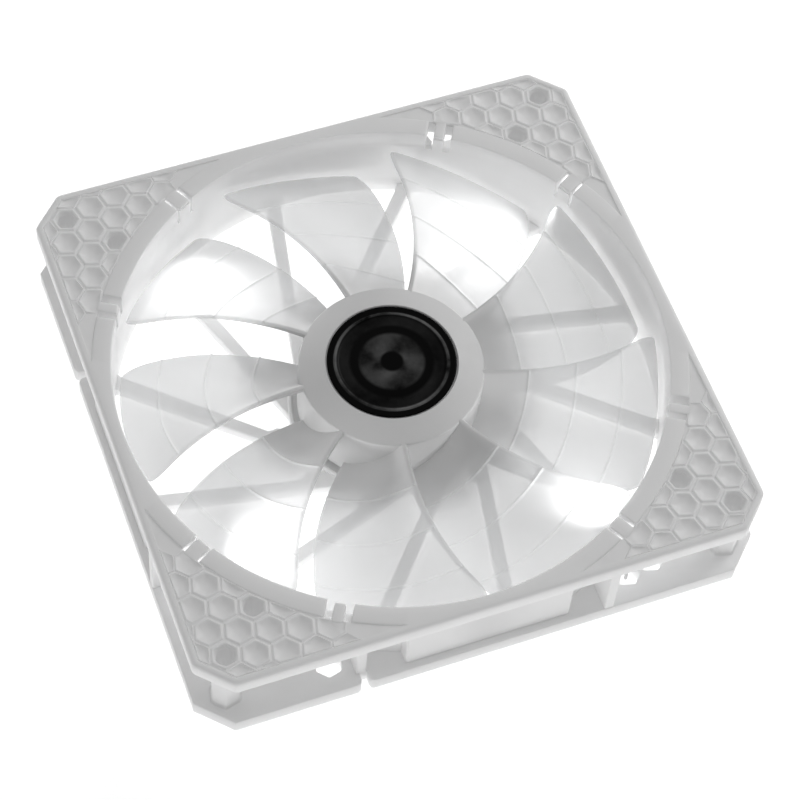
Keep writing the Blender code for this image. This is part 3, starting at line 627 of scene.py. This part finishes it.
def add_cell(work, centre, outline, top):
    """The sunk, dished inside of one cell with the groove round it; a screw hole may open in it."""
    if signed_area(outline) < 0:
        outline = outline[::-1]
    middle = sum(outline, Vector((0.0, 0.0))) / len(outline)
    sides = list(zip(outline, outline[1:] + outline[:1]))
    inner = min(abs((b - a).normalized().cross(middle - a)) for a, b in sides)
    has_hole = any(abs(centre.x - s / 2) < 1e-4 and abs(centre.y - s / 2) < 1e-4 for s in HOLE_SPACINGS)
    scale = min(1.0, inner / 0.0032)
    rings = []
    for inset, depth, roundness in CELL_SECTION:
        if has_hole and inset > 0.0012:
            break
        straight = min(inset, 0.00096) * scale
        loop = offset_loop(outline, straight) if inset > 0 else outline
        closer = 1 - (inset * scale - straight) / (inner - straight)
        points = []
        for i, point in enumerate(loop):
            following = loop[(i + 1) % len(loop)]
            for k in range(CELL_EDGE_STEPS):
                points.append(point.lerp(following, k / CELL_EDGE_STEPS))
        mean = sum((p - middle).length for p in points) / len(points)
        even = [middle + (p - middle) * closer
                * (1 - roundness + roundness * mean / max(1e-6, (p - middle).length)) for p in points]
        depth *= 0.4 + 0.6 * scale if inset > 0 else 1.0
        rings.append([work.verts.new((p.x, p.y, top - max(depth, channel_depth(p)))) for p in even])
    if has_hole:
        for radius, depth in ((HOLE_R + 0.0003, 0.0008), (HOLE_R + 0.00008, 0.0010), (HOLE_R, 0.0013),
                              (HOLE_R, 0.0030)):
            ring = []
            for vert in rings[0]:
                direction = (vert.co.xy - centre).normalized()
                spot = centre + direction * radius
                ring.append(work.verts.new((spot.x, spot.y, top - depth)))
            rings.append(ring)
    for low, high in zip(rings, rings[1:]):
        for i in range(len(low)):
            j = (i + 1) % len(low)
            work.faces.new((low[i], low[j], high[j], high[i]))
    if not has_hole:
        work.faces.new(rings[-1])


def channel_depth(point):
    """How deep the notch's channel runs into the cell behind it."""
    deepest = 0.0
    for turn, _ in notches(1):
        out, aside = turn.transposed() @ point
        if out < 0.0745:
            deepest = max(deepest, 0.0005 * min(1.0, max(0.0, (0.0024 - abs(aside)) / 0.0006))
                          * min(1.0, (0.0745 - out) / 0.0010))
    return deepest


def intake_face():
    """Outline of the intake face's opening (duct, fields and notches in one) and of its ring pieces."""
    reach = math.sqrt(FIELD_R ** 2 - FIELD_U ** 2)
    corner = FIELD_CORNER * math.sqrt(2) - FIELD_U
    begin = math.atan2(reach, FIELD_U)
    first, last = (math.radians(angle) for angle in NOTCH_ANGLES)
    sides = [SLOTS[angle][3] for angle in NOTCH_ANGLES]
    first_duct, last_duct = (math.asin(side / DUCT_R) for side in sides)
    first_field, last_field = (math.asin(side / FIELD_R) for side in sides)
    opening, pieces = [], []
    for quarter in range(QUARTERS):
        loop = arc(DUCT_R, last - math.pi / 2 + last_duct, first - first_duct, 72)
        loop += arc(FIELD_R, first - first_field, begin, 16)
        loop += [Vector((FIELD_U, corner)), Vector((corner, FIELD_U))]
        loop += arc(FIELD_R, math.pi / 2 - begin, last + last_field, 16)
        opening += turned_loop(loop, quarter)
        ring = arc(DUCT_R, first + first_duct, last - last_duct, 32)
        ring += arc(FIELD_R, last - last_field, first + first_field, 32)
        pieces.append(turned_loop(ring, quarter))
    return opening, pieces


def intake_flange():
    """Upper flange: a sunk lower layer, and a top layer with an opening for each honeycomb field."""
    holes = [circle(HOLE_R, 32, turned_loop([Vector((s / 2, s / 2))], q)[0])
             for q in range(QUARTERS) for s in HOLE_SPACINGS]
    work = bmesh.new()
    add_plate(work, (frame_outline(), 0.0, EDGE),
              [duct_outline(SLOT_UNDER_R), *holes], HEIGHT - FLANGE, FIELD_FLOOR)
    lower = new_object("flange_lower_layer", work)
    work = bmesh.new()
    opening, pieces = intake_face()
    add_plate(work, (frame_outline(), EDGE, 0.0), [(opening, 0.0004, 0.0)], FIELD_FLOOR, HEIGHT)
    for piece in pieces:
        add_plate(work, piece, [], FIELD_FLOOR, HEIGHT, 0.0003)
    for turn, slots in notches():
        tab = [Vector((FIELD_R + 0.0007, slots[1])), Vector((FIELD_R + 0.0007, slots[2])),
               Vector((DUCT_R + 0.0002, slots[2])), Vector((DUCT_R + 0.0002, slots[1]))]
        add_plate(work, rounded_corners([turn @ p for p in tab], 0.0006, 4), [], FIELD_FLOOR, TAB_TOP,
                  0.00035)
    upper = new_object("flange_upper_layer", work)
    work = bmesh.new()
    for quarter in range(QUARTERS):
        single = bmesh.new()
        for centre, outline, is_cell in honeycomb_cells():
            if is_cell:
                add_cell(single, centre, without_short_edges(outline, 0.0003), HEIGHT)
            else:
                add_plate(single, outline, [], FIELD_FLOOR - 0.0001, HEIGHT - PLAIN_DEPTH)
        moved(single, work, Matrix.Rotation(quarter * math.pi / 2, 4, "Z"))
        single.free()
    cells = new_object("honeycomb", work, 60)
    return [lower, upper, cells]


def cable_flange():
    """Lower flange with its hexagonal holes, screw holes and cable slits."""
    holes = []
    for quarter in range(QUARTERS):
        holes += [turned_loop(circle(HOLE_R, 32, (s / 2, s / 2)), quarter) for s in HOLE_SPACINGS]
        for steps, beside in ((3, False), (3, True), (2, False)):
            hexagon = circle(0.0034, 6, corner_cell(steps, beside), math.radians(15))
            holes.append(turned_loop(rounded_corners(hexagon, 0.0004, 3), quarter))
    work = bmesh.new()
    add_plate(work, (slitted_outline(), 0.0004, EDGE),
              [(circle(DUCT_R, DUCT_STEPS), 0.0, 0.0005), *[(hole, 0.0002, 0.0002) for hole in holes]],
              0.0, FLANGE)
    return new_object("flange_rear", work)


def duct():
    work = bmesh.new()
    add_turned(work, [(DUCT_OUTER_R, HEIGHT - FLANGE), (DUCT_OUTER_R, FLANGE), (DUCT_R, FLANGE),
                      (DUCT_R, HEIGHT - FLANGE)], DUCT_STEPS, closed=True)
    cutters = []
    for turn, slots in notches():
        for first, second in (slots[:2], slots[2:]):
            slot = bmesh.new()
            corners = [turn @ Vector(corner) for corner in
                       ((0.0650, first), (0.0650, second), (0.0700, second), (0.0700, first))]
            add_plate(slot, corners, [], SLOT_BOTTOM, HEIGHT)
            cutters.append(new_object("slot", slot))
    return cut(new_object("duct", work), cutters)


def hexagon(radius, place):
    """A cell's outline round a screw hole of the +X +Y corner, with its corners rounded."""
    return rounded_corners(circle(radius, 6, place, math.radians(15)), 0.0005, 4)


def side_details():
    """Ribs, blank label plates and screw bosses between the flanges."""
    low, high = FLANGE - 0.0004, HEIGHT - FLANGE + 0.0004
    single = bmesh.new()
    within = (DUCT_R + DUCT_OUTER_R) / 2
    spread = math.asin(PLATE_HALF / within)
    plate = [Vector((PLATE_U, -PLATE_HALF)), Vector((PLATE_U, -PLATE_HALF + 0.0004)),
             Vector((PLATE_U, PLATE_HALF - 0.0004)), Vector((PLATE_U, PLATE_HALF)),
             *arc(within, spread, -spread, 40)]
    plate[0].x -= 0.0004
    plate[3].x -= 0.0004
    add_plate(single, plate, [], low, high)
    for middle, reach in ((CABLE_RIB_S, CABLE_RIB_U), (LED_RIB_S, HALF - 0.00015)):
        inner = math.sqrt(DUCT_OUTER_R ** 2 - middle ** 2)
        half = RIB / 2
        rib = [Vector((inner - 0.0008, middle - half - 0.0006)), Vector((inner + 0.0014, middle - half)),
               Vector((reach, middle - half)), Vector((reach, middle + half)),
               Vector((inner + 0.0014, middle + half)), Vector((inner - 0.0008, middle + half + 0.0006))]
        if middle > 0:
            rib[0].x = rib[5].x = inner - 0.0004
        add_plate(single, rounded_corners(rib, 0.0004, 3), [], low, high)
    for spacing in HOLE_SPACINGS:
        place = Vector((spacing / 2, spacing / 2))
        add_plate(single, hexagon(BOSS_R, place), [circle(HOLE_R, 32, place)], low, high)
        for end, flare in ((FLANGE, 1), (HEIGHT - FLANGE, -1)):
            levels = [(BOSS_R + 0.0006, end - flare * 0.0002), (BOSS_R + 0.00025, end + flare * 0.0002),
                      (BOSS_R - 0.00002, end + flare * 0.0007)]
            rings = [[single.verts.new((p.x, p.y, height)) for p in hexagon(radius, place)]
                     for radius, height in levels]
            for near, far in zip(rings, rings[1:]):
                for i in range(len(near)):
                    j = (i + 1) % len(near)
                    single.faces.new((near[i], near[j], far[j], far[i]))
    work = bmesh.new()
    for quarter in range(QUARTERS):
        moved(single, work, Matrix.Rotation(quarter * math.pi / 2, 4, "Z"))
    single.free()
    return new_object("side_details", work)


STRUTS, STRUT_ANGLE, STRUT_OFFSET = 12, 79, 0.0198
STRUT_BOTTOM, STRUT_TOP = 0.0003, 0.0034
BASE_R, BASE_BOTTOM, BASE_TOP, BASE_RIM_TOP = 0.0246, 0.0002, 0.0030, 0.0044
LABEL_RECESS_R, LABEL_RECESS = 0.0206, 0.0006


def strut_point(angle, along, aside):
    across = STRUT_OFFSET + aside
    return Vector((along * math.cos(angle) - across * math.sin(angle),
                   along * math.sin(angle) + across * math.cos(angle)))


def strut_outline(angle):
    """A bar with a flared root at the duct and a stepped gusset at the motor base."""
    far = [(0.0112, 0.0015), (0.0605, 0.00175), (0.0630, 0.0021), (0.0642, 0.0030)]
    near = [(0.0652, -0.0027), (0.0640, -0.0021), (0.0615, -0.00175), (0.0243, -0.0015),
            (0.0235, -0.0020), (0.0226, -0.0031), (0.0214, -0.0033), (0.0175, -0.0033)]
    return [strut_point(angle, along, aside) for along, aside in far + near]


def lead_path():
    """The groove that carries an LED's lead from the motor base to its hole in the flange."""
    angle = math.radians(STRUT_ANGLE - 60)
    rise = strut_point(angle, 0.0085, 0.0)
    hole = corner_cell(3, False)
    points = [Vector((*(rise * 0.975), 0.0040)), Vector((*rise, 0.0028))]
    points += [Vector((*strut_point(angle, along, 0.0), height))
               for along, height in ((0.0096, 0.0013), (0.0125, 0.0008), (0.0300, 0.0008),
                                     (0.0480, 0.0008), (0.0620, 0.0008))]
    points += [Vector((0.0580, 0.0396, 0.0008)), Vector((0.0610, 0.0386, 0.0008)),
               Vector((*hole, 0.0025))]
    return points


def groove_cutter(quarter):
    points = [point - Vector((0.0, 0.0, 0.0003)) for point in lead_path()]
    padded = [points[0] * 2 - points[1], *points, points[-1] * 2 - points[-2]]
    route = []
    for i in range(1, len(padded) - 2):
        before, start, end, after = padded[i - 1:i + 3]
        for k in range(4):
            t = k / 4
            route.append(0.5 * (2 * start + (end - before) * t
                                + (2 * before - 5 * start + 4 * end - after) * t ** 2
                                + (3 * start - before - 3 * end + after) * t ** 3))
    route.append(points[-1])
    curve = bpy.data.curves.new("groove", "CURVE")
    curve.dimensions = "3D"
    curve.bevel_depth = 0.0009
    curve.bevel_resolution = 4
    curve.use_fill_caps = True
    spline = curve.splines.new("POLY")
    spline.points.add(len(route) - 1)
    for point, place in zip(spline.points, route):
        point.co = (*place, 1.0)
    holder = bpy.data.objects.new("groove", curve)
    bpy.context.scene.collection.objects.link(holder)
    bpy.context.view_layer.update()
    mesh = bpy.data.meshes.new_from_object(holder.evaluated_get(bpy.context.evaluated_depsgraph_get()))
    bpy.data.objects.remove(holder, do_unlink=True)
    work = bmesh.new()
    work.from_mesh(mesh)
    bmesh.ops.remove_doubles(work, verts=work.verts, dist=1e-6)
    bmesh.ops.recalc_face_normals(work, faces=work.faces)
    work.to_mesh(mesh)
    work.free()
    cutter = bpy.data.objects.new("groove", mesh)
    bpy.context.scene.collection.objects.link(cutter)
    cutter.matrix_world = Matrix.Rotation(quarter * math.pi / 2, 4, "Z")
    return cutter


def struts():
    made = []
    for number in range(STRUTS):
        work = bmesh.new()
        angle = math.radians(STRUT_ANGLE + number * 360 / STRUTS)
        add_plate(work, strut_outline(angle), [], STRUT_BOTTOM, STRUT_TOP, 0.0005, 0.0003)
        strut = new_object(f"strut_{number}", work)
        if number % 3 == 1:
            strut = cut(strut, [groove_cutter((number + 2) // 3 % QUARTERS)])
        made.append(strut)
    return made


def motor_base():
    recess = BASE_BOTTOM + LABEL_RECESS
    rim = 0.0010
    profile = [(0.0, 0.0022), (0.0049, 0.0022), (0.0049, 0.0058), (0.0051, 0.0060), (0.0060, 0.0060),
               (0.0062, 0.0058), (0.0062, 0.0034), (0.0066, BASE_TOP), (BASE_R - rim - 0.0004, BASE_TOP),
               (BASE_R - rim, BASE_TOP + 0.0004), (BASE_R - rim, BASE_RIM_TOP - 0.0002),
               (BASE_R - rim + 0.0002, BASE_RIM_TOP), (BASE_R - 0.0003, BASE_RIM_TOP),
               (BASE_R, BASE_RIM_TOP - 0.0003)]
    profile += arc_profile((BASE_R - 0.0005, BASE_BOTTOM + 0.0005), 0.0005, 0, -90, 4)
    profile += [(LABEL_RECESS_R + 0.0002, BASE_BOTTOM), (LABEL_RECESS_R, BASE_BOTTOM + 0.0002),
                (LABEL_RECESS_R, recess), (0.0, recess)]
    work = bmesh.new()
    add_turned(work, profile, 120)
    return cut(new_object("motor_base", work), [groove_cutter(q) for q in range(QUARTERS)])


def make_frame():
    rear = cut(cable_flange(), [groove_cutter(q) for q in range(QUARTERS)])
    pieces = intake_flange() + [rear, duct(), side_details(), *struts(), motor_base()]
    moulding = joined("frame_moulding", pieces)
    moulding.data.materials.append(LOOKS["frame"])
    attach(moulding, "housing")
    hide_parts("frame")


# --- The impeller and its badge -----------------------------------------------------------------
HUB_R, HUB_WALL, HUB_BOTTOM = 0.0224, 0.0013, 0.0049
HUB_TOP, HUB_RIM, HUB_ROUND = 0.0231, 0.0213, 0.0006     # the face falls like a flat cone
HUB_ROOF = 0.0026
BADGE_DEPTH = 0.0006
BLADES = 9
BLADE_TIP_R, BLADE_ROOT_R = 0.0652, 0.0219
BLADE_TOP, BLADE_BOTTOM = 0.0212, 0.0072
BLADE_ROOT_SPAN, BLADE_TIP_SPAN, BLADE_SWEEP = 38, 35, 14
RIDGES = (0.0330, 0.0446, 0.0560)
BLADE_ROWS, BLADE_COLUMNS = 96, 30


def blade_point(out, back):
    """Middle surface of the blade: out from root to tip, back from leading to trailing edge."""
    radius = BLADE_ROOT_R + (BLADE_TIP_R - BLADE_ROOT_R) * out
    span = BLADE_ROOT_SPAN + (BLADE_TIP_SPAN - BLADE_ROOT_SPAN) * out
    lead = BLADE_SWEEP * max(0.0, out) ** 1.5 + span / 2
    top = BLADE_TOP - 0.0016 * out
    bottom = BLADE_BOTTOM + 0.0014 * out
    # the corners of the tip are rounded off
    corner = max(0.0, out - 0.86) / 0.14
    inset = 0.055 * (1 - math.sqrt(max(0.0, 1 - corner ** 2)))
    back = inset + back * (1 - 2 * inset)
    angle = math.radians(lead - span * back)
    droop = back + 0.16 * math.sin(math.pi * back)
    return Vector((radius * math.cos(angle), radius * math.sin(angle), top + (bottom - top) * droop)), radius


def blade_thickness(out, back):
    """Half thickness: full in the middle, thinning to rounded edges."""
    edge = min(back, 1 - back)
    rounding = math.sqrt(max(0.0, 1 - (1 - min(1.0, edge / 0.03)) ** 2))
    tip = math.sqrt(max(0.0, 1 - (1 - min(1.0, (1 - out) / 0.012)) ** 2))
    body = 0.00052 + 0.00022 * math.sin(math.pi * min(1.0, back * 1.15)) + 0.00030 * (1 - out) ** 3
    return body * rounding * tip


def spaced(count, ends):
    """Shares from 0 to 1, closer together near both ends."""
    return [((1 - ends) * k / count + ends * (0.5 - 0.5 * math.cos(math.pi * k / count)))
            for k in range(count + 1)]


def add_blade(work, number):
    turn = Matrix.Rotation(number * 2 * math.pi / BLADES, 3, "Z")
    outs, backs = spaced(BLADE_ROWS, 0.5), spaced(BLADE_COLUMNS, 0.8)
    for radius in RIDGES:
        middle = (radius - BLADE_ROOT_R) / (BLADE_TIP_R - BLADE_ROOT_R)
        for shift in (-0.010, -0.006, -0.003, 0.0, 0.003, 0.006, 0.010):
            outs.append(middle + shift)
    outs.sort()
    upper, lower = [], []
    for out in outs:
        rows = ([], [])
        for back in backs:
            here, radius = blade_point(out, back)
            along = blade_point(out, min(1.0, back + 0.01))[0] - blade_point(out, max(0.0, back - 0.01))[0]
            across = blade_point(min(1.0, out + 0.01), back)[0] - blade_point(out - 0.01, back)[0]
            normal = across.cross(along).normalized()
            if normal.z < 0:
                normal = -normal
            thick = blade_thickness(out, back)
            ridge = sum(math.exp(-((radius - r) / 0.00028) ** 2) for r in RIDGES) * 0.00028
            rows[0].append(work.verts.new(turn @ (here + normal * (thick + ridge * min(1, thick / 0.0004)))))
            rows[1].append(work.verts.new(turn @ (here - normal * thick)))
        upper.append(rows[0])
        lower.append(rows[1])
    for grid, flip in ((upper, False), (lower, True)):
        for first, second in zip(grid, grid[1:]):
            for i in range(len(first) - 1):
                quad = (first[i], first[i + 1], second[i + 1], second[i])
                work.faces.new(quad[::-1] if flip else quad)
    edge = [row[0] for row in upper], [row[0] for row in lower]
    other = [row[-1] for row in upper], [row[-1] for row in lower]
    for a, b in (edge, other, (upper[0], lower[0]), (upper[-1], lower[-1])):
        for i in range(len(a) - 1):
            corners = []
            for vert in (a[i], a[i + 1], b[i + 1], b[i]):
                if vert not in corners:
                    corners.append(vert)
            if len(corners) > 2:
                work.faces.new(corners)


def make_impeller():
    inner, roof, floor = HUB_R - HUB_WALL, HUB_TOP - HUB_ROOF, HUB_TOP - BADGE_DEPTH
    pocket = BADGE_R + 0.0003
    profile = [(0.0, floor), (pocket, floor), (pocket, HUB_TOP - 0.0002), (pocket + 0.0002, HUB_TOP)]
    profile += arc_profile((HUB_R - HUB_ROUND, HUB_RIM - HUB_ROUND), HUB_ROUND, 75, 0, 10)
    profile += [(HUB_R, HUB_BOTTOM + 0.0003), (HUB_R - 0.0003, HUB_BOTTOM), (inner + 0.0002, HUB_BOTTOM),
                (inner, HUB_BOTTOM + 0.0002), (inner, roof), (0.0060, roof), (0.0060, 0.0189),
                (0.0033, 0.0189), (0.0033, 0.0217), (0.0, 0.0217)]
    work = bmesh.new()
    add_turned(work, profile, 144)
    for number in range(BLADES):
        add_blade(work, number)
    impeller = new_object("impeller_moulding", work, 40)
    impeller.data.materials.append(LOOKS["impeller"])
    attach(impeller, "rotor")
    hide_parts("impeller")


def make_badge():
    """A shallow disc with a thin raised ring and a slightly domed middle."""
    low = HUB_TOP - BADGE_DEPTH + 0.0003
    top = HUB_TOP + 0.0001
    profile = [(0.0, top - 0.00012), (0.0040, top - 0.00014), (0.0125, top - 0.0002),
               (0.0129, top - 0.0001), (0.0131, top + 0.00006), (0.0137, top + 0.00006),
               (0.0139, top - 0.0001), (0.0143, top - 0.00012), (BADGE_R - 0.0003, top),
               (BADGE_R - 0.0001, top - 0.00005), (BADGE_R, top - 0.00015), (BADGE_R, low), (0.0, low)]
    work = bmesh.new()
    add_turned(work, profile, 144)
    disc = new_object("hub_badge_disc", work)
    disc.data.materials.append(LOOKS["hub_badge"])
    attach(disc, "rotor")
    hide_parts("hub_badge")


make_frame()
make_impeller()
make_badge()


# --- Floor, light and camera -------------------------------------------------------------------
FLOOR_SIZE, FLOOR_DROP = 40.0, 0.0006
FLOOR_GLOW, WORLD_GLOW = 0.66, 0.25       # a bright floor under a dim room, for a pure white ground
BEAM_POWER, BEAM_WIDTH = 0.03, 120


def area_light(name, place, size, power):
    """A square light that faces the middle of the scene."""
    data = bpy.data.lights.new(name, "AREA")
    data.shape = "SQUARE"
    data.size = size
    data.energy = power
    light = bpy.data.objects.new(name, data)
    bpy.context.scene.collection.objects.link(light)
    light.location = place
    light.rotation_euler = (-Vector(place)).to_track_quat("-Z", "Y").to_euler()


def make_stage():
    bpy.ops.mesh.primitive_plane_add(size=FLOOR_SIZE, location=(0.0, 0.0, -FLOOR_DROP))
    floor = bpy.context.object
    floor.name = "floor"
    material, tree, shader = new_material("floor_white", (0.9, 0.9, 0.9), 0.8)
    tree.links.new(ramp(tree, noise(tree, 6.0), grey(0.88), grey(0.90)), shader.inputs["Base Color"])
    shader.inputs["Emission Color"].default_value = (1.0, 1.0, 1.0, 1.0)
    shader.inputs["Emission Strength"].default_value = FLOOR_GLOW
    shader.inputs["Specular IOR Level"].default_value = 0.0
    floor.data.materials.append(material)

    world = bpy.data.worlds.new("studio")
    bpy.context.scene.world = world
    world.use_nodes = True
    background = world.node_tree.nodes["Background"]
    background.inputs["Color"].default_value = (1.0, 1.0, 1.0, 1.0)
    background.inputs["Strength"].default_value = WORLD_GLOW
    bpy.context.scene.view_settings.view_transform = "Standard"
    area_light("key", (0.75, 0.35, 0.55), 0.4, 2.5)
    area_light("overhead", (0.15, 0.20, 1.2), 1.2, 2.2)
    for quarter in range(QUARTERS):
        turn = Matrix.Rotation(quarter * math.pi / 2, 3, "Z")
        data = bpy.data.lights.new(f"led_beam_{quarter + 1}", "SPOT")
        data.energy = BEAM_POWER
        data.spot_size, data.spot_blend = math.radians(BEAM_WIDTH), 1.0
        data.shadow_soft_size = 0.002
        beam = bpy.data.objects.new(data.name, data)
        bpy.context.scene.collection.objects.link(beam)
        beam.location = turn @ Vector(LED_BEAM)
        beam.rotation_euler = (turn @ Vector((-1.0, 0.0, -0.25))).to_track_quat("-Z", "Y").to_euler()


def make_camera():
    data = bpy.data.cameras.new("camera")
    data.sensor_width = 36.0
    data.lens = 123.47
    data.clip_start, data.clip_end = 0.01, 20.0
    camera = bpy.data.objects.new("camera", data)
    bpy.context.scene.collection.objects.link(camera)
    azimuth, elevation, roll = (math.radians(a) for a in (-24.897, 58.406, 5.684))
    back = Vector((math.sin(azimuth) * math.cos(elevation), -math.cos(azimuth) * math.cos(elevation),
                   math.sin(elevation)))
    aim = Vector((0.00085, -0.00495, 0.0125))
    turn = Matrix.Rotation(math.pi / 2 - elevation, 4, "X")
    camera.matrix_world = (Matrix.Translation(aim + back * 0.6628)
                           @ Matrix.Rotation(azimuth, 4, "Z") @ turn @ Matrix.Rotation(roll, 4, "Z"))
    bpy.context.scene.camera = camera


make_stage()
make_camera()
